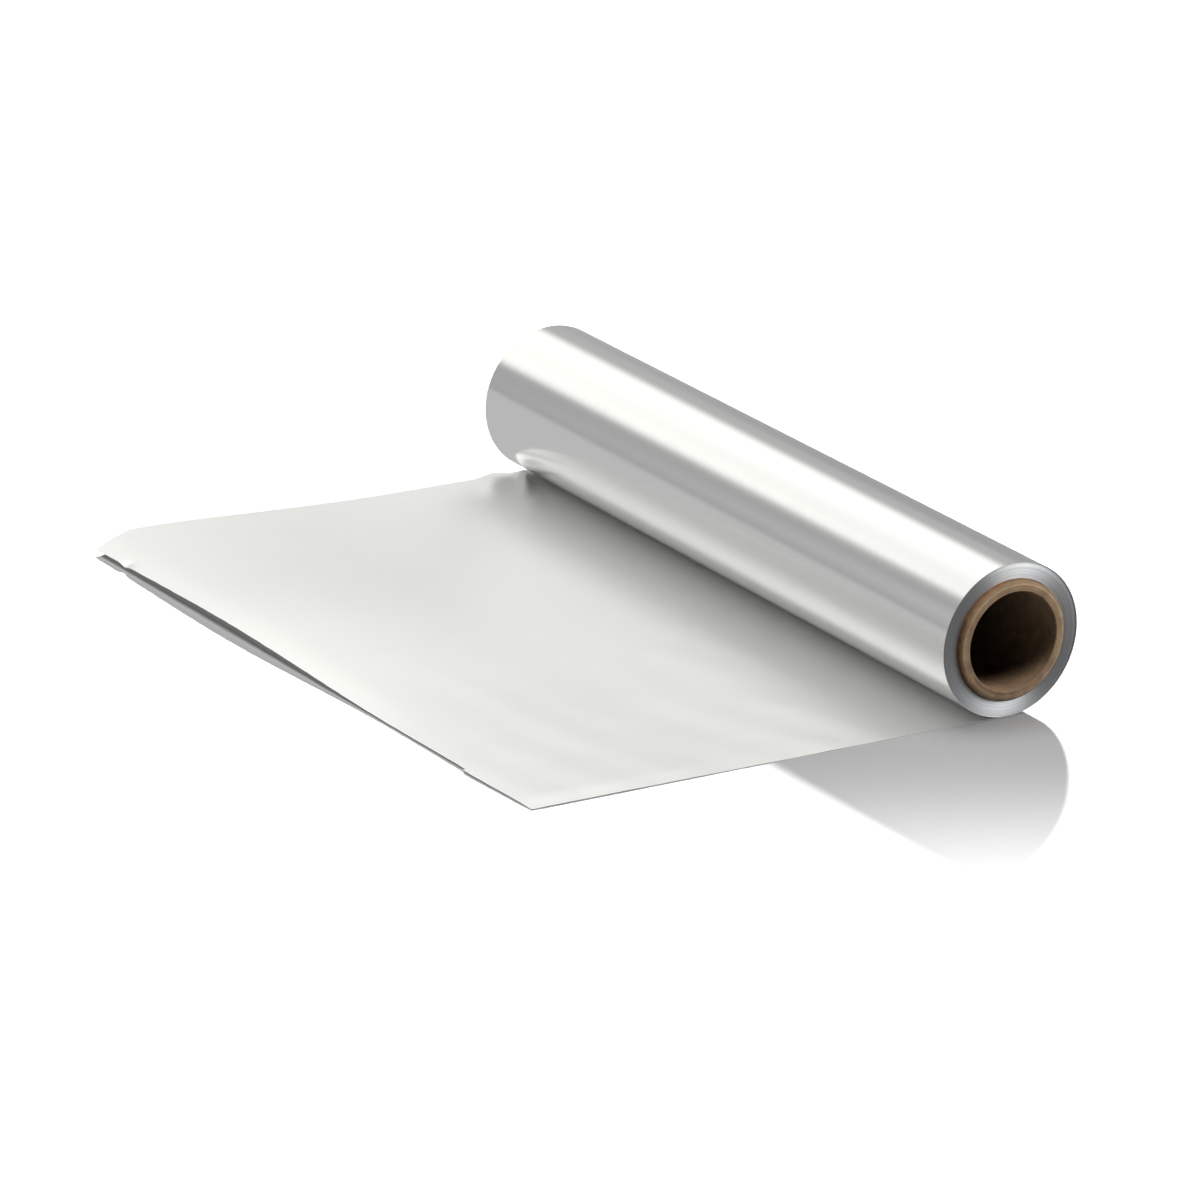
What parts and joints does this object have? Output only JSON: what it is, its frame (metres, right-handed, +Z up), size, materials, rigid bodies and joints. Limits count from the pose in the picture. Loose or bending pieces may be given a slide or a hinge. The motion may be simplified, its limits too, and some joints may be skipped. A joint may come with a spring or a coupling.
{
  "type": "aluminium foil roll",
  "caption": "Roll of aluminium foil wound on a cardboard tube that stands a little proud of the turns, with a sheet pulled out flat on the surface it lies on.",
  "frame": {"origin": "middle of the cardboard tube's bore, halfway along the roll", "axes": "+Y along the tube from the near end to the far end, +Z up from the surface that the roll lies on, and the pulled-out sheet runs towards -X"},
  "size_m": [0.226, 0.304, 0.0559],
  "materials": {
    "foil": "bright on the outside of the roll, matt on the sheet's upper side",
    "cardboard": "matt"
  },
  "bodies": {
    "root": {"foil": "foil", "cardboard_core": "cardboard"}
  },
  "joints": []
}
